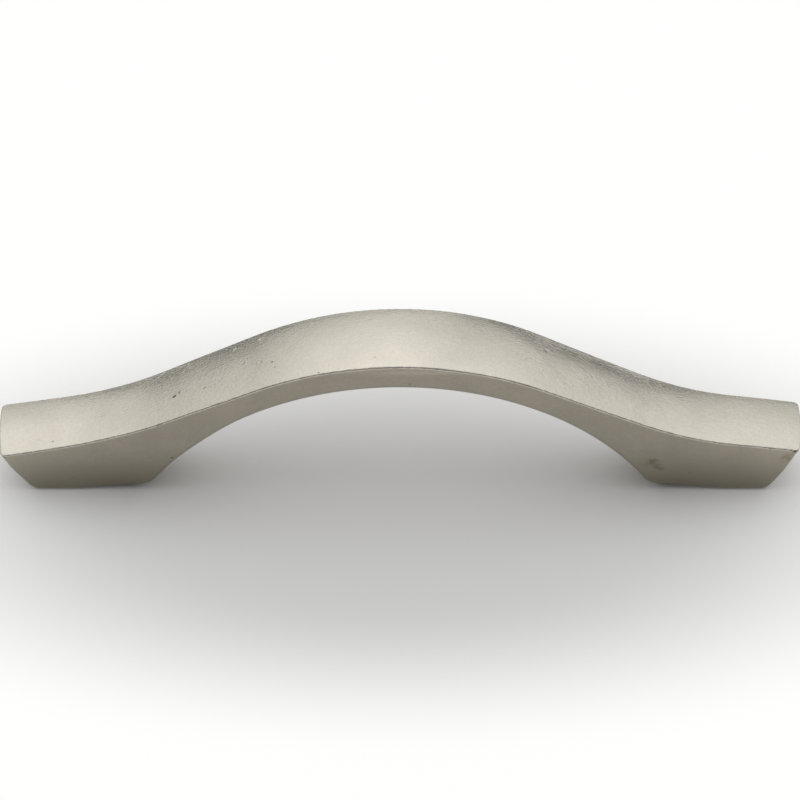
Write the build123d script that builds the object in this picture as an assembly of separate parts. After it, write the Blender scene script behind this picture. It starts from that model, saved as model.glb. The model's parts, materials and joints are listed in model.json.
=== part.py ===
from build123d import *
from math import cos, radians, sin, tan
import os

# An arch pull for a drawer or a door, cast in one piece.
# Z is up from the mounting face, X runs along the pull and the origin is midway between its holes.
# Lengths are in millimetres, angles in degrees.

# Feet
hole_spacing = 96.0
base_width = 9.9
foot_inner = 8.8
foot_outer = 9.1
toe_radius = 4.5
heel_radius = 2.0

# Crown line, seen from the side: a convex arch, a straight flank, a concave sweep and a straight tail
projection = 29.1
arch_reach = 22.5
flank_run = 14.5
flank_angle = 27.5
sweep_run = 15.0
tail_angle = 10.5
end_overhang = 14.2

# Section of the grip
grip_thickness = 5.7
crown_radius = 30.0
side_lean = 3.2

# Edges
rim_radius = 0.4
edge_radius = 0.9

# Tapped holes
thread_diameter = 4.1
hole_roof = 3.0
drill_point_angle = 118.0
lead_in = 0.4


def crown_points():
    """Where the crown line changes from one stretch to the next, from its top out to the tip."""
    flank, tail = radians(flank_angle), radians(tail_angle)
    arch_radius = arch_reach / sin(flank)
    sweep_radius = sweep_run / (sin(flank) - sin(tail))
    tail_run = hole_spacing / 2 + end_overhang - arch_reach - flank_run - sweep_run
    top = Vector(0, projection)
    arch_end = top + Vector(arch_reach, -arch_radius * (1 - cos(flank)))
    flank_end = arch_end + Vector(flank_run, -flank_run * tan(flank))
    sweep_end = flank_end + Vector(sweep_run, -sweep_radius * (cos(tail) - cos(flank)))
    tip = sweep_end + Vector(tail_run, -tail_run * tan(tail))
    return top, arch_end, flank_end, sweep_end, tip


top, arch_end, flank_end, sweep_end, tip = crown_points()


def crowned_bar():
    """A deep bar with a domed top, swept along the crown line and past both tips."""
    flank_way = Vector(cos(radians(flank_angle)), -sin(radians(flank_angle)))
    past_tip = tip + (tip - sweep_end)
    half = [
        Line(arch_end, flank_end),
        TangentArc(flank_end, sweep_end, tangent=flank_way),
        Line(sweep_end, past_tip),
    ]
    arch = ThreePointArc((-arch_end.X, arch_end.Y), top, arch_end)
    line = Curve() + [arch, *half] + [mirror(piece, Plane.YZ) for piece in half]
    path = (Plane.XZ * line).wire()
    section_plane = Plane(path @ 0, x_dir=(0, 1, 0), z_dir=path % 0)
    bar = Rectangle(2 * base_width, 2 * projection)
    dome = Pos(0, -crown_radius) * Circle(crown_radius)
    return sweep(section_plane * (bar & dome), path)


def trapezoid(half_base, half_top):
    """A face as tall as the pull, symmetric about its local Y, on the mounting face."""
    corners = Polyline(
        (-half_base, 0), (half_base, 0), (half_top, projection), (-half_top, projection), close=True
    )
    return make_face(corners)


def drafted_block():
    """The planes of the sides and ends, all leaning out from the mounting face."""
    sole_reach = hole_spacing / 2 + foot_outer
    end_slope = (tip.X - sole_reach) / tip.Y
    from_the_side = trapezoid(sole_reach, sole_reach + projection * end_slope)
    from_the_end = trapezoid(base_width / 2, base_width / 2 + projection * tan(radians(side_lean)))
    along_y = extrude(Plane.XZ * from_the_side, 2 * base_width, both=True)
    along_x = extrude(Plane.YZ * from_the_end, 2 * hole_spacing, both=True)
    return along_y & along_x


def finger_space():
    """The round space under the arch, through the inner corners of both soles."""
    reach = hole_spacing / 2 - foot_inner
    height = projection - grip_thickness
    radius = (reach**2 + height**2) / (2 * height)
    return Pos(0, 0, height - radius) * Rot(90, 0, 0) * Cylinder(radius, 4 * base_width)


def tapped_hole():
    """A blind hole up into a foot, with a lead-in at its mouth and a drill point at its end."""
    radius = thread_diameter / 2
    depth = tip.Y + end_overhang * tan(radians(tail_angle)) - hole_roof
    point = radius / tan(radians(drill_point_angle / 2))
    half_section = Polyline(
        (0, 0), (radius + lead_in, 0), (radius, lead_in), (radius, depth - point), (0, depth), close=True
    )
    return revolve(Plane.XZ * make_face(half_section), Axis.Z)


pull = drafted_block() & crowned_bar()
pull -= finger_space()

# Each sole has a toe towards the middle and a heel towards the tip, crossing from side to side.
sole_ends = pull.edges().filter_by(Axis.Y).group_by(Axis.Z)[0]
pull = fillet(sole_ends.group_by(lambda edge: abs(edge.center().X))[0], toe_radius)
sole_ends = pull.edges().filter_by(Axis.Y).group_by(Axis.Z)[0]
pull = fillet(sole_ends.group_by(lambda edge: abs(edge.center().X))[-1], heel_radius)

# From a sole's long edge the rounding runs on round the heel, up the end, and round the toe under the arch.
sole_sides = pull.edges().filter_by(Axis.X).group_by(Axis.Z)[0]
pull = fillet(sole_sides, edge_radius)

# The rim of the domed top is one smooth loop, so it is rounded all the way round from the top of the arch.
arch_face = pull.faces().filter_by(GeomType.TORUS).sort_by(Axis.Z)[-1]
arch_rim = arch_face.edges().sort_by(SortBy.LENGTH)[-2:]
pull = fillet(arch_rim, rim_radius)

for side in (-1, 1):
    pull -= Pos(side * hole_spacing / 2, 0, 0) * tapped_hole()

os.makedirs("parts", exist_ok=True)
export_step(pull, "parts/arch_pull.step")
print("arch_pull", len(pull.solids()), "solid", round(pull.volume), "mm3", pull.bounding_box().size)
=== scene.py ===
# %% [markdown]
# # An arch pull in satin nickel
# The real thing is a cabinet pull of the arch kind: two feet, two flanks and a grip, cast in one piece,
# polished by hand and plated. The solid model already has its size and form, so the lesson starts by
# loading that model as a fixed frame. Its box is kept for the height of the pull.

# %% Load the solid model as the frame
import bmesh
import bpy
import json
from math import asin, atan2, cos, pi, radians, sin, sqrt, tan
from mathutils import Matrix, Vector, noise
from mathutils.bvhtree import BVHTree

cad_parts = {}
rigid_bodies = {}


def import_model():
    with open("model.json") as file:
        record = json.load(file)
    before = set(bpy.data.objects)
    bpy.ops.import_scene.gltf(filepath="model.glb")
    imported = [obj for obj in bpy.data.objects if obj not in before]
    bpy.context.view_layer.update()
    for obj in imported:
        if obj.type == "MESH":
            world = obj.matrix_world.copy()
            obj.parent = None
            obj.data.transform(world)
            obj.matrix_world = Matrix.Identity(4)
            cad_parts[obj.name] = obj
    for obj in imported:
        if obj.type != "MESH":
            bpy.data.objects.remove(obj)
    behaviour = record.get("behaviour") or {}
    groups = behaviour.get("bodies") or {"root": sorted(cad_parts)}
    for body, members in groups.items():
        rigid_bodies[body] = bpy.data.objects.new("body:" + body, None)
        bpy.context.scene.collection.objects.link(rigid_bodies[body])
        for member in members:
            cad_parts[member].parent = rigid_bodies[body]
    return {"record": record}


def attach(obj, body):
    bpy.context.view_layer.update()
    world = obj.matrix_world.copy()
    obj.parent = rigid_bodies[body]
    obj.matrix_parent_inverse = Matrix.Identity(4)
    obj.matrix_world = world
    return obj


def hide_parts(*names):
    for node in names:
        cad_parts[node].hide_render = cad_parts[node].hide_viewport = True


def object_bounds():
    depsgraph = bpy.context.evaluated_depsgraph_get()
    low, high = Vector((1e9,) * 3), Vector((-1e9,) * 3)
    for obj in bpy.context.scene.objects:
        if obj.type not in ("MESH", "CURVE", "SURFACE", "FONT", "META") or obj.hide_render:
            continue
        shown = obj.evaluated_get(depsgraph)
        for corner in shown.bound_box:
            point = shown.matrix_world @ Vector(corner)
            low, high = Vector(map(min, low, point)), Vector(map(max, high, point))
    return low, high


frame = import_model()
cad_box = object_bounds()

mm = 0.001
scene = bpy.context.scene
scene.view_settings.view_transform = "Standard"


def sides_in_mm(box):
    """The three sides of a box in millimetres."""
    return [round(side / mm, 2) for side in box[1] - box[0]]


print("solid model, mm:", sides_in_mm(cad_box))

# %% [markdown]
# ## Camera
# The photo was taken from well away through a long lens, looking down at 45 degrees and square to the pull.
# A short lens nearby would splay the feet, so the camera stands 1.6 m off, and the lens follows from the
# width that the picture takes in at that distance.

# %% Stand the camera at the photo's angle
view_elevation = radians(45)
view_distance = 1.6
view_width = 123.7 * mm
look_at = Vector((0, 0.18 * mm, 14.68 * mm))

lens = bpy.data.cameras.new("camera")
lens.lens = lens.sensor_width * view_distance / view_width
camera = bpy.data.objects.new("camera", lens)
towards_camera = Vector((0, -cos(view_elevation), sin(view_elevation)))
camera.location = look_at + view_distance * towards_camera
camera.rotation_euler = towards_camera.to_track_quat("Z", "Y").to_euler()
scene.collection.objects.link(camera)
scene.camera = camera
print("lens, mm:", round(lens.lens, 1))

# %% [markdown]
# ## A short way to write node trees
# The finish, the floor and the studio light are all node trees. Adding a node, setting its options and wiring
# its sockets takes many lines by hand, so one helper does the three together. The others are built on it:
# a ramp of greys, sums, a soft step from one level to another, and a mix of two colours.

# %% Helpers for nodes
def add_node(tree, kind, inputs=None, **options):
    """Add a shader node. An input is a number, a colour or another node's output."""
    node = tree.nodes.new("ShaderNode" + kind)
    for name, value in options.items():
        setattr(node, name, value)
    for socket, value in (inputs or {}).items():
        if isinstance(value, bpy.types.NodeSocket):
            tree.links.new(value, node.inputs[socket])
        else:
            node.inputs[socket].default_value = value
    return node


def add_ramp(tree, factor, stops):
    """Add a ramp whose stops are pairs of a place and a grey, and give its colour."""
    ramp = add_node(tree, "ValToRGB", {"Fac": factor})
    marks = ramp.color_ramp.elements
    while len(marks) < len(stops):
        marks.new(1.0)
    for mark, (place, grey) in zip(marks, stops):
        mark.position = place
        mark.color = (grey, grey, grey, 1)
    return ramp.outputs["Color"]


def combine(tree, operation, total, *others):
    """Add or multiply outputs, one after another."""
    for other in others:
        total = add_node(tree, "Math", {0: total, 1: other}, operation=operation).outputs["Value"]
    return total


def soft_step(tree, value, start, stop, low=0.0, high=1.0):
    """A low level up to the start, a high one from the stop on, and smooth between them."""
    span = {"Value": value, "From Min": start, "From Max": stop, "To Min": low, "To Max": high}
    return add_node(tree, "MapRange", span, interpolation_type="SMOOTHSTEP").outputs["Result"]


def mix(tree, factor, first, second):
    """Mix two colours. Other sockets of this node have the same names, so these go by number."""
    return add_node(tree, "Mix", {0: factor, 6: first, 7: second}, data_type="RGBA").outputs[2]


print("helpers for nodes: add_node, add_ramp, combine, soft_step, mix")

# %% [markdown]
# ## Studio light
# Metal shows little but what it mirrors, so the light is designed as something to mirror: a bright ceiling
# that falls off to a dark horizon, weaker in front of the pull than behind it and a little uneven from left
# to right. A strip just before overhead is brightest, for a light line along the near rim. A world shader can
# say all that by the parts of each direction: up from the horizon, from left to right, and from the front to
# the back. The grip then runs from bright at its near rim to dark at the back, and the sides mirror the floor
# in the pull's own shadow.

# %% Shade the walls and ceiling of the studio
upwards = [(0, 0.03), (0.09, 0.09), (0.2, 0.4), (0.34, 0.78), (0.62, 0.94), (1, 1.04)]
left_half = [(0, 0.72), (0.21, 0.88), (0.375, 0.94), (0.5, 1.0)]
right_half = [(0.6, 0.86), (0.66, 0.79), (0.72, 0.88), (0.79, 0.97), (1, 0.7)]
backwards = [(0, 0.35), (0.3, 0.45), (0.44, 1.08), (0.55, 1.06), (0.68, 1.0), (1, 1.0)]

world = bpy.data.worlds.new("studio")
world.use_nodes = True
scene.world = world
sky = world.node_tree
sky.nodes.clear()
direction = add_node(sky, "SeparateXYZ", {"Vector": add_node(sky, "TexCoord").outputs["Generated"]}).outputs
sideways = add_node(sky, "MapRange", {"Value": direction["X"], "From Min": -1.0}).outputs["Result"]
front_to_back = add_node(sky, "MapRange", {"Value": direction["Y"], "From Min": -1.0}).outputs["Result"]
glow = combine(
    sky, "MULTIPLY",
    add_ramp(sky, direction["Z"], upwards),
    add_ramp(sky, sideways, left_half + right_half),
    add_ramp(sky, front_to_back, backwards),
)
shine = add_node(sky, "Background", {"Color": glow, "Strength": 1.0})
add_node(sky, "OutputWorld", {"Surface": shine.outputs["Background"]})
print("studio:", len(sky.nodes), "nodes")

# %% [markdown]
# One wide, weak softbox overhead adds to the ceiling. Its power is worked out from its area, so that it glows
# the same at any size.

# %% Hang a softbox
softbox_side = 1.2
softbox_glow = 0.1
softbox_place = (0, 0.2, 0.9)

softbox = bpy.data.lights.new("softbox", "AREA")
softbox.size = softbox_side
softbox.energy = softbox_glow * pi * softbox_side**2
lamp = bpy.data.objects.new("softbox", softbox)
lamp.location = softbox_place
scene.collection.objects.link(lamp)
print("softbox:", round(softbox.energy, 2), "W")

# %% [markdown]
# ## Floor
# A sheet of pale paper lies under the pull and catches its shadow. Close by, the paper shows only the light
# that falls on it. Further out it glows a little to the camera and in the metal, as a lit cove would, so
# the picture fades to white without more light on the pull. Well outside the picture it fades to grey, which
# darkens the far edge of the pull.

# %% Mix the paper
paper_near = (0.90, 0.90, 0.89, 1)
paper_far = (0.5, 0.5, 0.5, 1)
paper_fade = (0.11, 0.32)
cove_glow = 0.37
cove_fade = (19 * mm, 52 * mm)
shade_squash = 0.5
shade_shift = 10 * mm

paper = bpy.data.materials.new("pale_paper")
paper.use_nodes = True
tree = paper.node_tree
tree.nodes.clear()
spot = add_node(tree, "TexCoord").outputs["Object"]
squashed = {"Vector": spot, "Scale": (shade_squash, 1, 1), "Location": (0, shade_shift, 0)}
spot = add_node(tree, "Mapping", squashed).outputs["Vector"]
away = add_node(tree, "VectorMath", {0: spot}, operation="LENGTH").outputs["Value"]
nearness = soft_step(tree, away, paper_fade[1], paper_fade[0])
ray = add_node(tree, "LightPath").outputs
seen = combine(tree, "ADD", ray["Is Camera Ray"], ray["Is Glossy Ray"], ray["Is Transmission Ray"])
cove = combine(tree, "MULTIPLY", soft_step(tree, away, *cove_fade, high=cove_glow), nearness, seen)
matt = add_node(tree, "BsdfDiffuse", {"Color": mix(tree, nearness, paper_far, paper_near)})
lit = add_node(tree, "Emission", {"Strength": cove})
both = add_node(tree, "AddShader", {0: matt.outputs["BSDF"], 1: lit.outputs["Emission"]})
add_node(tree, "OutputMaterial", {"Surface": both.outputs["Shader"]})
print("paper:", len(tree.nodes), "nodes")

# %% [markdown]
# The sheet is one large square. It lies a hair below the soles, because two faces at the same height would
# flicker.

# %% Lay the floor
floor_half = 3.0
floor_gap = 0.02 * mm

sheet = bmesh.new()
bmesh.ops.create_grid(sheet, x_segments=1, y_segments=1, size=floor_half)
bmesh.ops.translate(sheet, verts=sheet.verts, vec=(0, 0, -floor_gap))
floor_mesh = bpy.data.meshes.new("floor")
sheet.to_mesh(floor_mesh)
sheet.free()
floor_mesh.materials.append(paper)
floor = bpy.data.objects.new("floor", floor_mesh)
scene.collection.objects.link(floor)
print("floor:", 2 * floor_half, "m square")

# %% [markdown]
# ## The body
# The pull was cast in one piece, so one mesh stands for it. The loaded model is exact, but its triangles
# follow the solid's faces and are too uneven to take fine dents. A mesh of even squares is made instead, in
# the order a pattern maker works: draw the side outline, saw it out of a plank, dome the top, plane the sides
# to their lean and round the edges. The holes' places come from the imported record.

# %% Sizes of the body
def mount(name):
    """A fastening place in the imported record."""
    return next(place for place in frame["record"]["mounts"] if place["name"] == name)


hole_reach = mount("right_hole")["pos_m"][0]
hole_radius = mount("right_hole")["dims"]["r_mm"] * mm
projection = cad_box[1].z
grip_thickness = 5.7 * mm
base_half = 4.95 * mm
side_lean = radians(3.2)
crown_radius = 30 * mm

arch_reach = 22.5 * mm
flank_run = 14.5 * mm
sweep_run = 15 * mm
flank_angle = radians(27.5)
tail_angle = radians(10.5)
end_overhang = 14.2 * mm
tip_reach = hole_reach + end_overhang

foot_inner, foot_outer = 8.8 * mm, 9.1 * mm
sole_inner = hole_reach - foot_inner
sole_outer = hole_reach + foot_outer
toe_radius = 4.5 * mm
heel_radius = 2 * mm
edge_radius = 0.9 * mm
rim_radius = 0.4 * mm
print("feet reach from", round(sole_inner / mm, 1), "to", round(sole_outer / mm, 1), "mm")

# %% [markdown]
# The outline is drawn as two wires, for one half of the pull. The first is the crown line, from the top of
# the arch to the tip. The spin operator carries a single vertex round a centre, and with no angle but a step
# it carries it straight on, so arcs and runs take one line each. The last step is long, to leave room for
# rounding the corner.

# %% Draw the crown line
across = Vector((0, 1, 0))
arch_steps, flank_steps, sweep_steps, tail_steps = 46, 28, 30, 18
tip_room = 1.3 * mm


def arc_on(wire, end, centre, angle, steps):
    """Carry a wire on from its end round a centre, and give its new end."""
    made = bmesh.ops.spin(wire, geom=[end], cent=centre, axis=across, angle=angle, steps=steps)
    return made["geom_last"][0]


def line_on(wire, end, way, steps=1):
    """Carry a wire straight on from its end, and give its new end."""
    made = bmesh.ops.spin(wire, geom=[end], cent=end.co, axis=across, dvec=way / steps, steps=steps)
    return made["geom_last"][0]


def downhill(angle, run):
    """A straight run outwards that falls at an angle."""
    return Vector((run, 0, -run * tan(angle)))


body = bmesh.new()
arch_radius = arch_reach / sin(flank_angle)
sweep_radius = sweep_run / (sin(flank_angle) - sin(tail_angle))
end = body.verts.new((0, 0, projection))
end = arc_on(body, end, (0, 0, projection - arch_radius), flank_angle, arch_steps)
end = line_on(body, end, downhill(flank_angle, flank_run), flank_steps)
sweep_centre = end.co + sweep_radius * Vector((sin(flank_angle), 0, cos(flank_angle)))
end = arc_on(body, end, sweep_centre, tail_angle - flank_angle, sweep_steps)
end = line_on(body, end, downhill(tail_angle, tip_reach - end.co.x - tip_room), tail_steps)
tip_height = line_on(body, end, downhill(tail_angle, tip_room)).co.z
print("crown line:", len(body.verts), "points, tip at height", round(tip_height / mm, 2), "mm")

# %% [markdown]
# The second wire is the underside, from the middle round the toe to the heel. The arc under the grip meets
# the arc of the toe on the line between their centres, so both turn by the same angle. This wire has as many
# steps as the first one, to be joined to it step by step.

# %% Draw the underside
under_steps, toe_steps, sole_steps = 78, 12, 32
heel_room = 2 * mm

under_top = projection - grip_thickness
under_radius = (sole_inner**2 + under_top**2) / (2 * under_top)
under_centre = Vector((0, 0, under_top - under_radius))
toe_rise = toe_radius - under_centre.z
toe_centre = Vector((sqrt((under_radius + toe_radius) ** 2 - toe_rise**2), 0, toe_radius))
under_turn = atan2(toe_centre.x, toe_rise)
end = body.verts.new((0, 0, under_top))
end = arc_on(body, end, under_centre, under_turn, under_steps)
end = arc_on(body, end, toe_centre, -under_turn, toe_steps)
end = line_on(body, end, downhill(0, sole_outer - end.co.x - heel_room), sole_steps)
line_on(body, end, downhill(0, heel_room))
print("half outline:", len(body.verts), "points")

# %% [markdown]
# Bridging the wires fills the side with a ladder of quads, and a mirror gives the other half. Extruding the
# whole side makes the plank. Its edges across are cut into strips, so that the top can bend.

# %% Saw out the plank
strips = 8
merge_gap = 0.001 * mm


def only_points(pieces):
    """The vertices among the pieces that an operator made."""
    return [piece for piece in pieces if isinstance(piece, bmesh.types.BMVert)]


bmesh.ops.bridge_loops(body, edges=body.edges[:])
bmesh.ops.mirror(body, geom=body.verts[:] + body.edges[:] + body.faces[:], axis="X", merge_dist=merge_gap)
bmesh.ops.translate(body, verts=body.verts[:], vec=-base_half * across)
far_side = only_points(bmesh.ops.extrude_face_region(body, geom=body.faces[:])["geom"])
bmesh.ops.translate(body, verts=far_side, vec=2 * base_half * across)
bmesh.ops.recalc_face_normals(body, faces=body.faces[:])
ties = [edge for edge in body.edges if edge.verts[0].co.y * edge.verts[1].co.y < 0]
bmesh.ops.subdivide_edges(body, edges=ties, cuts=strips - 1, use_grid_fill=True)
print("plank:", len(body.faces), "faces")

# %% [markdown]
# An edge to be rounded is found by the faces that meet there, and faces are told apart by the way they look.
# The limits leave room for the slope of the flanks and the lean of sides and ends.

# %% Tell the faces apart
top_from = 0.5
sole_from = -0.9
side_from = 0.95
end_from = 0.85


def looks_up(piece):
    """Whether a face or a point looks up, as the whole top does."""
    return piece.normal.z > top_from


def looks_down(face):
    """Whether a face looks straight down, as the soles do."""
    return face.normal.z < sole_from


def is_side(face):
    """Whether a face is part of the near or the far side."""
    return abs(face.normal.y) > side_from


def is_end(face):
    """Whether a face is part of an end, which looks out and a little down."""
    return abs(face.normal.x) > end_from and face.normal.z < 0


def seams(one, other):
    """Edges where a face of one kind meets a face of the other kind."""
    found = []
    for edge in body.edges:
        first, second = edge.link_faces
        if (one(first) and other(second)) or (one(second) and other(first)):
            found.append(edge)
    return found


print("edges at the heels:", len(seams(is_end, looks_down)))

# %% [markdown]
# The heels are rounded first, while the plank is square. A bevel is told how far to cut back, so the radius
# is turned into that by the angle at the edge.

# %% Round the heels
heel_steps = 8


def round_off(edges, radius, turn, steps):
    """Round edges to a radius where the surface turns by an angle, and give the new faces."""
    made = bmesh.ops.bevel(
        body, geom=edges, offset=radius * tan(turn / 2), offset_type="OFFSET", affect="EDGES",
        segments=steps, profile=0.5, clamp_overlap=False, material=-1,
    )
    body.normal_update()
    return made["faces"]


end_lean = atan2(tip_reach - sole_outer, tip_height)
round_off(seams(is_end, looks_down), heel_radius, radians(90) - end_lean, heel_steps)
print("with heels:", len(body.faces), "faces")

# %% [markdown]
# The dome lowers each point of the top by the height of a 30 mm circle, square to the surface, and at the
# tips along the slant of the end, so that the end stays flat. The polishing wheel stayed too long on the far
# shoulders of both flanks, so these lie a little lower still, the right one more. Then the sides are spread
# with height, which is the draft that lets the casting leave its mould.

# %% Dome the top and lean the sides
shoulders = [
    {"middle": -47 * mm, "reach": 24 * mm, "wear": 0.14 * mm},
    {"middle": 33 * mm, "reach": 27 * mm, "wear": 0.3 * mm},
]


def widening(height):
    """How many times wider the pull is at a height than at its feet."""
    return 1 + height * tan(side_lean) / base_half


def fade(spot, centre, reach):
    """One at the centre, falling smoothly to zero at the reach along each axis."""
    away = sqrt(sum(((here - there) / span) ** 2 for here, there, span in zip(spot, centre, reach)))
    return (1 + cos(pi * min(away, 1))) / 2


for vert in body.verts:
    tops = [face.normal for face in vert.link_faces if looks_up(face)]
    ends = [face.normal for face in vert.link_faces if is_end(face)]
    if not tops:
        continue
    outward = sum(tops, Vector()).normalized()
    way = ends[0].cross(across) if ends else outward
    drop = crown_radius - sqrt(crown_radius**2 - (vert.co.y * widening(vert.co.z)) ** 2)
    if vert.co.y > 0:
        for worn in shoulders:
            share = fade([vert.co.x], [worn["middle"]], [worn["reach"]])
            drop += share * worn["wear"] * (vert.co.y / base_half) ** 2
    vert.co -= way * drop / way.dot(outward)
for vert in body.verts:
    vert.co.y *= widening(vert.co.z)
body.normal_update()
grip_width = 2 * base_half * widening(projection)
print("width, mm: feet", round(2 * base_half / mm, 2), "grip", round(grip_width / mm, 2))

# %% [markdown]
# The long edges are rounded in two passes. The lower one runs from tip to tip round each side: up the ends,
# round heels and toes and under the arch. The rim of the dome then runs over those rounded corners. A narrow
# inset beside each rounding keeps its shading off the flat faces.

# %% Round the long edges
edge_steps = 6
inset_width = 0.08 * mm
rim_slope = asin(grip_width / 2 / crown_radius)
lower_turn = radians(90) - side_lean
rim_turn = radians(90) + side_lean - rim_slope
rounded = body.faces.layers.int.new("rounded")

lower_edges = seams(is_side, lambda face: not is_side(face) and not looks_up(face))
for face in round_off(lower_edges, edge_radius, lower_turn, edge_steps):
    face[rounded] = 1
rim_edges = seams(looks_up, lambda face: not looks_up(face))
for face in round_off(rim_edges, rim_radius, rim_turn, edge_steps):
    face[rounded] = 1
flats = [face for face in body.faces if not face[rounded]]
bmesh.ops.inset_region(body, faces=flats, thickness=inset_width, use_boundary=True, use_even_offset=True)
print("rounded edges:", len(lower_edges) + len(rim_edges))

# %% [markdown]
# The quads are still long where the plank was, so they are cut to squares of about half a millimetre, which
# dents can bend. Smooth cutting puts the new points on the curve of the dome instead of on its chords.

# %% Cut the body to even squares
side_rows = 12
strip_rows = 3
long_rung = 3 * mm
wide_strip = 0.9 * mm
across_from = 0.9


def runs_across(edge):
    """Whether an edge runs from side to side, or nearly so."""
    way = edge.verts[1].co - edge.verts[0].co
    return abs(way.y) > across_from * way.length


def cut(edges, rows):
    """Cut edges into rows, with the new points on the curve of the surface."""
    body.normal_update()
    bmesh.ops.subdivide_edges(
        body, edges=edges, cuts=rows - 1, smooth=1, smooth_falloff="LINEAR", use_grid_fill=True
    )


rungs = [edge for edge in body.edges if edge.calc_length() > long_rung]
bmesh.ops.subdivide_edges(body, edges=rungs, cuts=side_rows - 1, use_grid_fill=True)
cut([edge for edge in body.edges if runs_across(edge) and edge.calc_length() > wide_strip], strip_rows)
body.normal_update()
print("body:", len(body.faces), "faces")

# %% [markdown]
# ## Tapped holes
# Each foot takes a machine screw, in a blind hole tapped from below. The tap leaves a real helix, so the
# profile of one pitch is drawn and spun upwards. Each step of the profile goes inwards by a number of thread
# heights and up by a part of the pitch. One turn ends where the next begins, and merging the doubles joins
# them into one wall. The spare turns reach past both ends of the wall, to be cut off.

# %% Spin a thread
lead_in = 0.4 * mm
roof = 3 * mm
drill_point = radians(118)
pitch = 0.7 * mm
thread_height = 0.38 * mm
thread_profile = ((0, 1 / 8), (-1, 5 / 16), (0, 1 / 4), (1, 5 / 16))
turn_steps = 48
spare_turns = 2

point_height = tip_height + (tip_reach - hole_reach) * tan(tail_angle) - roof
wall_top = point_height - hole_radius / tan(drill_point / 2)
turns = int((wall_top - lead_in) / pitch) + spare_turns
thread = bmesh.new()
end = thread.verts.new((hole_radius, 0, lead_in - pitch))
for inwards, rise in thread_profile:
    end = line_on(thread, end, Vector((inwards * thread_height, 0, rise * pitch)))
bmesh.ops.spin(
    thread, geom=thread.verts[:] + thread.edges[:], cent=(0, 0, 0), axis=(0, 0, 1),
    angle=turns * 2 * pi, dvec=(0, 0, pitch / turn_steps), steps=turns * turn_steps,
)
bmesh.ops.remove_doubles(thread, verts=thread.verts[:], dist=merge_gap)
print("thread:", turns, "turns of", pitch / mm, "mm")

# %% [markdown]
# The wall is cut square at both ends. Its top is drawn to a point, as the drill left it, and its bottom
# is flared to the mouth, where the screw finds its way in.

# %% Close the thread and flare its mouth
def open_edges(mesh, height):
    """The open edges of a mesh that lie at a height."""
    rims = [edge for edge in mesh.edges if edge.is_boundary]
    return [edge for edge in rims if all(abs(vert.co.z - height) < merge_gap for vert in edge.verts)]


def drawn_on(mesh, edges):
    """Extrude open edges and give the new points, to be moved."""
    return only_points(bmesh.ops.extrude_edge_only(mesh, edges=edges)["geom"])


for height, away_side in ((lead_in, "clear_inner"), (wall_top, "clear_outer")):
    pieces = thread.verts[:] + thread.edges[:] + thread.faces[:]
    level = {"plane_co": (0, 0, height), "plane_no": (0, 0, 1), away_side: True}
    bmesh.ops.bisect_plane(thread, geom=pieces, **level)
point = drawn_on(thread, open_edges(thread, wall_top))
bmesh.ops.pointmerge(thread, verts=point, merge_co=(0, 0, point_height))
for vert in drawn_on(thread, open_edges(thread, lead_in)):
    flare = (hole_radius + lead_in) / vert.co.xy.length
    vert.co = (vert.co.x * flare, vert.co.y * flare, 0)
thread_mesh = bpy.data.meshes.new("thread")
thread.to_mesh(thread_mesh)
thread.free()
print("threaded hole:", len(thread_mesh.polygons), "faces,", round(point_height / mm, 2), "mm deep")

# %% [markdown]
# A square patch of each sole makes room for the mouth of the hole, and a bridge joins its edge to the round
# mouth. Both threads are copies moved along X, not mirrored, so both are right-handed.

# %% Tap both feet
patch_half = 3.2 * mm


def in_patch(face, middle):
    """Whether a face of the sole is in the square round the middle of a hole."""
    spot = face.calc_center_median()
    return looks_down(face) and spot.z < merge_gap and max(abs(spot.x - middle), abs(spot.y)) < patch_half


for middle in (-hole_reach, hole_reach):
    patch = [face for face in body.faces if in_patch(face, middle)]
    bmesh.ops.delete(body, geom=patch, context="FACES")
    thread_mesh.transform(Matrix.Translation((middle, 0, 0)))
    body.from_mesh(thread_mesh)
    thread_mesh.transform(Matrix.Translation((-middle, 0, 0)))
    bmesh.ops.bridge_loops(body, edges=[edge for edge in body.edges if edge.is_boundary])
bpy.data.meshes.remove(thread_mesh)
bmesh.ops.recalc_face_normals(body, faces=body.faces[:])
body.normal_update()
print("tapped body:", len(body.faces), "faces, closed:", all(edge.is_manifold for edge in body.edges))

# %% [markdown]
# ## Wear from the polishing wheel
# A wheel held by hand never leaves a casting even. It softened the middle of the near rim, took the near rim
# of the left tail down and left the right tail high, left both ends and the left flank's underside a little
# full, and rounded the lower edges of the feet towards their toes. A rub moves the metal under it, most in
# the middle and fading out to its reach, so that no step is left. Rubs are written in millimetres. Then slow
# waves, about a hundredth of a millimetre high, unsettle the reflections on the top.

# %% Rub the body
near_rim = {"centre": (4, -6.5, 28), "reach": (24, 1.6, 1.6), "push": (0, 0.12, -0.12)}
left_end = {"centre": (-60, 0, 4.2), "reach": (5, 14, 5.2), "push": (-0.6, 0, 0)}
right_end = {"centre": (60, 0, 4.2), "reach": (5, 14, 5.2), "push": (0.25, 0, 0)}
left_tail = {"centre": (-64, -5.5, 9), "reach": (26, 7, 6), "push": (0, 0, -0.65)}
right_tail = {"centre": (66, 0, 9), "reach": (26, 16, 8), "push": (0, 0, 0.75)}
left_underside = {"centre": (-31, 0, 11), "reach": (15, 14, 8), "push": (0.2, 0, -0.2)}
rubs = [near_rim, left_end, right_end, left_tail, right_tail, left_underside]
toe_x, toe_y = 40.5, base_half / mm
toe_reach = (12, 2.6, 2.6)
toe_wear = 0.4
wave_length = 6 * mm
wave_height = 0.02 * mm

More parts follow.
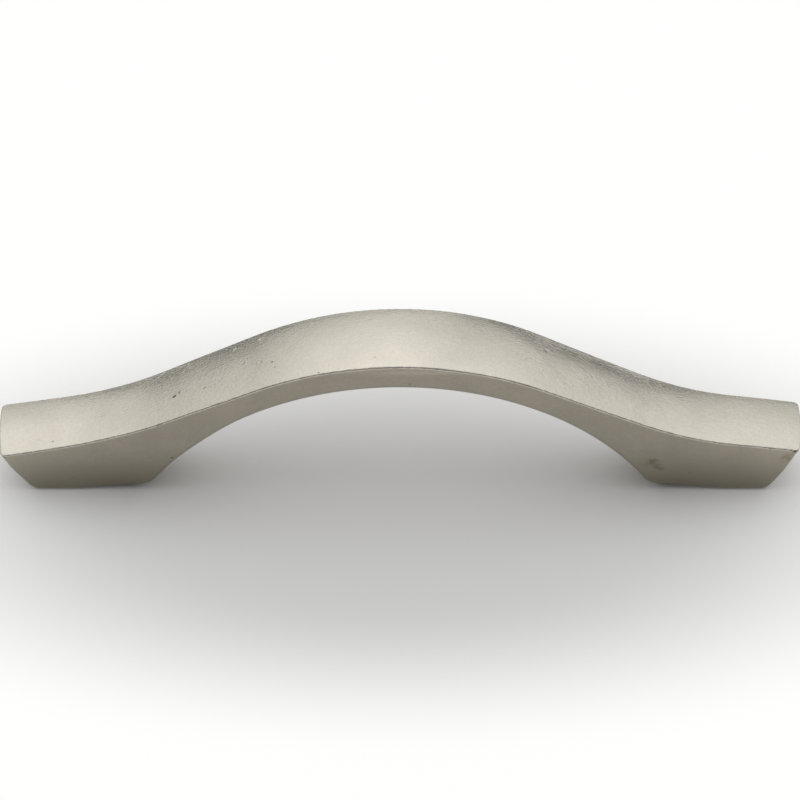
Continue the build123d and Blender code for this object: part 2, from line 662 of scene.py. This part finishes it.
for foot in (-1, 1):
    for side in (-1, 1):
        toe_edge = (toe_x * foot, toe_y * side, 0)
        rubs.append({"centre": toe_edge, "reach": toe_reach, "push": (0, -toe_wear * side, toe_wear)})
for touch in rubs:
    for vert in body.verts:
        vert.co += fade(vert.co / mm, touch["centre"], touch["reach"]) * mm * Vector(touch["push"])
body.normal_update()
for vert in body.verts:
    if looks_up(vert):
        vert.co += vert.normal * wave_height * noise.noise(vert.co / wave_length)
body.normal_update()
print("rubs:", len(rubs))

# %% [markdown]
# ## Dents, pits and scratches
# The plate shows the knocks of use and the pores of the casting. Each is pressed into the mesh: the squares
# round it are cut finer, the metal goes in, and a low lip comes up round it. Grime settles in a mark and
# plate can tarnish, so a press also leaves dirt or a stain on the points it covers, as layers that the
# finish reads.

# %% A press for marks
dirt = body.verts.layers.float.new("dirt")
tarnish = body.verts.layers.float.new("tarnish")
lip_width = 0.5
lip_share = 0.2
finest = 0.1 * mm
cuts_across = 4
fine_share = 0.6
far_off = 0.2
along = Vector((1, 0, 0))
skin = BVHTree.FromBMesh(body)


def refine(place, reach, size):
    """Cut the squares round a place until no edge is longer than a size."""
    coarse = True
    while coarse:
        near = [vert for vert in body.verts if (vert.co - place).length < reach]
        coarse = {edge for vert in near for edge in vert.link_edges if edge.calc_length() > size}
        cut(list(coarse), rows=2)


def press(start, aim, upright, length, width, turn, depth, grime, stain=0):
    """Press a mark where a line from a start along an aim meets the body, turned from X towards upright."""
    place, normal, _, _ = skin.ray_cast(start, aim)
    length_way = cos(radians(turn)) * along + sin(radians(turn)) * upright
    length_way = (length_way - length_way.dot(normal) * normal).normalized()
    width_way = normal.cross(length_way)
    refine(place, fine_share * length + finest, max(finest, width / cuts_across))
    for vert in body.verts:
        away = vert.co - place
        if away.length > length:
            continue
        ring = 2 * sqrt((away.dot(length_way) / length) ** 2 + (away.dot(width_way) / width) ** 2)
        if ring < 1:
            vert.co -= normal * depth * (1 - ring**2) ** 2
            vert[dirt] = max(vert[dirt], grime * (1 - ring**2))
            vert[tarnish] = max(vert[tarnish], stain * (1 - ring**2))
        elif ring < 1 + lip_width:
            vert.co += normal * lip_share * depth * sin(pi * (ring - 1) / lip_width)


print("finest cut, mm:", finest / mm)

# %% [markdown]
# The marks on top are placed from the photo. Each row gives a place along and across, then the mark's
# length, width, turn, depth and grime. Scratches and ripples come in threes, side by side.

# %% Press the marks on top
down = Vector((0, 0, -1))
scratch = {"length": 1.6, "width": 0.25, "turn": 50, "depth": 0.014, "grime": 0.05}
scratch_places = ((-18.2, 2.0), (18.8, -0.9))
scratch_steps = (-0.7, 0, 0.6)
scratch_slant = 0.3
ripple = {"length": 1.4, "width": 0.4, "turn": 0, "depth": 0.02, "grime": 0.05}
ripple_places = ((-47.7, 3.6), (-46.2, -0.3), (-42.5, -1.5), (43.5, 1.9))
ripple_steps = (-0.55, 0, 0.55)
top_marks = [
    (-56.0, -3.4, 1.2, 0.25, -15, 0.014, 0.1),
    (-53.7, -4.1, 0.5, 0.3, 0, 0.03, 0.5),
    (-38.6, -2.1, 0.3, 0.3, 0, 0.02, 0.1),
    (-34.9, -1.4, 1.0, 0.55, 20, 0.07, 0.9),
    (-34.1, -0.9, 1.0, 0.25, 35, 0.03, 0.7),
    (-30.2, -1.9, 0.8, 0.4, 10, 0.06, 0.3),
    (-25.3, 4.2, 0.9, 0.6, 0, 0.08, 0.0),
    (-24.1, 0.2, 0.7, 0.5, 0, 0.08, 0.1),
    (-21.5, 4.3, 1.0, 0.5, 0, 0.09, 0.15),
    (-21.5, -1.0, 0.8, 0.4, 0, 0.09, 0.1),
    (-19.7, -1.7, 0.6, 0.4, 0, 0.05, 0.6),
    (-19.3, -2.9, 0.4, 0.4, 0, 0.04, 0.4),
    (-16.8, -1.8, 0.4, 0.3, 0, 0.02, 0.15),
    (-14.1, 2.2, 0.5, 0.3, 0, 0.02, 0.0),
    (-12.5, -6.0, 0.5, 0.3, 0, 0.04, 0.5),
    (-9.5, -5.8, 0.4, 0.3, 0, 0.02, 0.2),
    (-7.6, 2.6, 0.4, 0.3, 0, 0.015, 0.0),
    (-3.9, -4.4, 0.4, 0.4, 0, 0.03, 0.3),
    (14.6, 0.5, 0.7, 0.4, 0, 0.02, 0.0),
    (22.1, -1.0, 0.6, 0.4, 0, 0.02, 0.0),
    (22.6, 2.2, 1.1, 1.0, 0, 0.045, 0.0),
    (22.6, 2.2, 0.4, 0.4, 0, 0.03, 0.5),
    (29.7, 0.1, 0.4, 0.3, 0, 0.025, 0.2),
    (34.3, 2.7, 0.9, 0.25, 90, 0.02, 0.1),
    (34.9, 2.4, 1.2, 0.25, 90, 0.025, 0.25),
    (36.9, 3.5, 0.8, 0.25, 90, 0.02, 0.1),
    (37.4, 3.6, 1.3, 0.25, 90, 0.025, 0.2),
    (52.3, 4.7, 0.6, 0.3, 0, 0.03, 0.0),
    (53.8, 0.0, 0.3, 0.3, 0, 0.02, 0.1),
]


def press_top(x, y, length, width, turn, depth, grime):
    """Press a mark from above. Lengths are in millimetres."""
    start = Vector((x * mm, y * mm, far_off))
    press(start, down, across, length * mm, width * mm, turn, depth * mm, grime)


for mark in top_marks:
    press_top(*mark)
for x, y in scratch_places:
    for step in scratch_steps:
        press_top(x + step, y - scratch_slant * step, **scratch)
for x, y in ripple_places:
    for step in ripple_steps:
        press_top(x, y + step, **ripple)
print("body with marks on top:", len(body.faces), "faces")

# %% [markdown]
# On the near side, the second number of a row is a height, and the last one is tarnish. The brown blotch on
# the right foot and the stain at its tip are spots of bare, tarnished metal, so they have no depth. The
# notches at both tips are knocks.

# %% Press the marks on the near side
up = Vector((0, 0, 1))
side_marks = [
    (-61.2, 7.6, 0.8, 0.35, 0, 0.1, 0.9, 0.0),
    (-50.5, 2.9, 0.5, 0.4, 0, 0.03, 0.3, 0.0),
    (-42.4, 5.1, 0.5, 0.4, 0, 0.03, 0.35, 0.0),
    (-35.3, 7.6, 0.5, 0.4, 0, 0.06, 1.0, 0.0),
    (1.5, 24.6, 0.5, 0.4, 0, 0.05, 0.8, 0.0),
    (2.3, 24.3, 0.3, 0.25, 0, 0.03, 0.6, 0.0),
    (5.7, 25.3, 0.3, 0.3, 0, 0.02, 0.15, 0.0),
    (38.2, 6.1, 1.9, 1.2, 0, 0.0, 0.0, 0.6),
    (39.1, 6.7, 2.6, 1.8, 10, 0.0, 0.1, 0.75),
    (39.7, 5.7, 2.1, 1.6, -20, 0.0, 0.1, 0.75),
    (40.3, 5.1, 1.7, 1.2, 0, 0.0, 0.0, 0.7),
    (44.9, 4.1, 0.4, 0.3, 0, 0.03, 0.4, 0.0),
    (60.0, 7.6, 3.0, 2.2, 50, 0.0, 0.0, 0.7),
    (61.1, 8.9, 1.1, 0.45, 0, 0.12, 1.0, 0.0),
]


def press_near_side(x, z, length, width, turn, depth, grime, stain):
    """Press a mark or a stain from the front. Lengths are in millimetres."""
    start = Vector((x * mm, -far_off, z * mm))
    press(start, across, up, length * mm, width * mm, turn, depth * mm, grime, stain)


for mark in side_marks:
    press_near_side(*mark)
print("body with all marks:", len(body.faces), "faces")

# %% [markdown]
# Cutting leaves many-sided faces at the borders of the fine squares, so those are split into triangles. Some
# quads there have a corner in line with its neighbours. An export could split such a quad into a whole
# triangle and an empty one, so that corner is joined to the one across from it. Every soft corner of the pull
# is rounded already, so edges that still turn sharply belong to a thread or a deep mark, and shade as crisp.

# %% Clean up the mesh
straight_angle = radians(165)
crisp_angle = radians(20)

bmesh.ops.dissolve_degenerate(body, edges=body.edges[:], dist=merge_gap)
bmesh.ops.triangulate(body, faces=[face for face in body.faces if len(face.verts) > 4])
for quad in [face for face in body.faces if len(face.verts) == 4]:
    widest = max(quad.loops, key=lambda corner: corner.calc_angle())
    if widest.calc_angle() > straight_angle:
        opposite = widest.link_loop_next.link_loop_next
        bmesh.utils.face_split(quad, widest.vert, opposite.vert)
body.normal_update()
for edge in body.edges:
    edge.smooth = edge.calc_face_angle() < crisp_angle
print("clean body:", len(body.faces), "faces, closed:", all(edge.is_manifold for edge in body.edges))

# %% [markdown]
# ## Satin nickel
# Nickel plate is a warm grey metal, a little different from place to place. The finish tells its places by
# four things: where a point is, which way it looks, a noise of fine or coarse grain, and the layers that the
# press left. Each grain is given as a number to the metre and a detail.

# %% Start the finish
finish = bpy.data.materials.new("satin_nickel")
finish.use_nodes = True
tree = finish.node_tree
tree.nodes.clear()
coords = add_node(tree, "TexCoord").outputs
facing = add_node(tree, "SeparateXYZ", {"Vector": coords["Normal"]}).outputs["Z"]
height = add_node(tree, "SeparateXYZ", {"Vector": coords["Object"]}).outputs["Z"]


def grain(per_metre, detail, vector=coords["Object"]):
    """A noise with a number of grains to the metre."""
    speckle = {"Vector": vector, "Scale": per_metre, "Detail": detail}
    return add_node(tree, "TexNoise", speckle).outputs


def layer(name):
    """A layer that the press left on the mesh."""
    return add_node(tree, "Attribute", attribute_name=name).outputs["Fac"]


print("finish:", finish.name)

# %% [markdown]
# The top keeps the paler colour of buffed nickel. The sides, the ends and the underside are painted darker
# and browner: painted shade for the floor in the pull's own shadow, which they mirror, darkest low on the
# feet as painted shade for the floor's contact shadow. Soft clouds and fine specks vary both, the tarnish and
# grime of the marks lie over them, and the roughness wanders a little too.

# %% Mix the colours of the finish
# The side colours are painted shade, darker and browner than the nickel, for the shadowed floor that the
# sides mirror.
shaded_side_dark, shaded_side_pale = (0.41, 0.374, 0.312, 1), (0.45, 0.411, 0.344, 1)
# The foot colour is painted shade for the floor's contact shadow, which the low sides mirror.
foot_shade = (0.285, 0.26, 0.207, 1)
buff_dark, buff_pale = (0.67, 0.637, 0.55, 1), (0.71, 0.677, 0.585, 1)
tarnish_brown = (0.22, 0.185, 0.115, 1)
grime_black = (0.07, 0.06, 0.05, 1)
cloud_grain, speck_grain, blotch_grain, rough_grain = (170, 3), (1900, 4), (1500, 4), (400, 4)
cloud_span, blotch_span, rough_span = (0.75, 1.3), (0.3, 0.6), (0.3, 0.7)
least_rough, most_rough = 0.16, 0.23
unshaded_top_span = (0.2, 0.62)
foot_shade_height = 11 * mm

# One on the top and zero on the sides, ends and underside, which take the painted shade.
buffed_unshaded_top = soft_step(tree, facing, *unshaded_top_span)
mottle = combine(tree, "ADD", grain(*cloud_grain)["Fac"], grain(*speck_grain)["Fac"])
cloud = soft_step(tree, mottle, *cloud_span)
# Painted shade on the sides, which grows darker below the foot height.
shaded_sides = mix(tree, soft_step(tree, height, 0, foot_shade_height), foot_shade, mix(tree, cloud, shaded_side_dark, shaded_side_pale))
metal_with_painted_shade = mix(tree, buffed_unshaded_top, shaded_sides, mix(tree, cloud, buff_dark, buff_pale))
patchy = soft_step(tree, grain(*blotch_grain)["Fac"], *blotch_span)
stained = mix(tree, combine(tree, "MULTIPLY", layer("tarnish"), patchy), metal_with_painted_shade, tarnish_brown)
colour = mix(tree, layer("dirt"), stained, grime_black)
roughness = soft_step(tree, grain(*rough_grain)["Fac"], *rough_span, low=least_rough, high=most_rough)
print("colours:", len(tree.nodes), "nodes")

# %% [markdown]
# The wheel leaves a fine relief too small to press one by one: slow waves, a peel like an orange's, and lines
# along the buffed top that swirl where the wheel turned. It is keener on the flanks, where the wheel is hard
# to hold. The heights are a few hundredths of a millimetre, so a bump carries them.

# %% Lay the relief over it
wave_grain, peel_grain, line_grain, swirl_grain = (230, 2), (2300, 4), (700, 2), (90, 1)
wave_bump, peel_bump, line_bump = 0.05 * mm, 0.04 * mm, 0.04 * mm
swirl_reach = 6 * mm
line_stretch = (1, 9, 1)
keen_span = (0.97, 0.88)
least_keen = 0.75

swirl = {0: grain(*swirl_grain)["Color"], 1: (swirl_reach,) * 3, 2: coords["Object"]}
swirled = add_node(tree, "VectorMath", swirl, operation="MULTIPLY_ADD").outputs["Vector"]
stretched = add_node(tree, "Mapping", {"Vector": swirled, "Scale": line_stretch}).outputs["Vector"]
keen = soft_step(tree, facing, *keen_span, low=least_keen)
waves = grain(*wave_grain)["Fac"]
peel = combine(tree, "MULTIPLY", grain(*peel_grain)["Fac"], keen)
lines = combine(tree, "MULTIPLY", grain(*line_grain, vector=stretched)["Fac"], keen, buffed_unshaded_top)
relief = add_node(tree, "Bump", {"Height": waves, "Distance": wave_bump}).outputs["Normal"]
for bumps, rise in ((peel, peel_bump), (lines, line_bump)):
    relief = add_node(tree, "Bump", {"Height": bumps, "Distance": rise, "Normal": relief}).outputs["Normal"]
nickel = add_node(
    tree, "BsdfPrincipled", {"Base Color": colour, "Metallic": 1.0, "Roughness": roughness, "Normal": relief}
)
add_node(tree, "OutputMaterial", {"Surface": nickel.outputs["BSDF"]})
print("satin nickel:", len(tree.nodes), "nodes")

# %% [markdown]
# ## Handing over
# The mesh becomes one object that rides with the root body and takes the place of the solid model's mesh.

# %% Hand the body over
pull_mesh = bpy.data.meshes.new("pull_body")
body.to_mesh(pull_mesh)
body.free()
pull_mesh.materials.append(finish)
pull = bpy.data.objects.new("pull_body", pull_mesh)
scene.collection.objects.link(pull)
for face in pull_mesh.polygons:
    face.use_smooth = True
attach(pull, "root")
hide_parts("arch_pull")
print("pull:", len(pull_mesh.polygons), "faces")
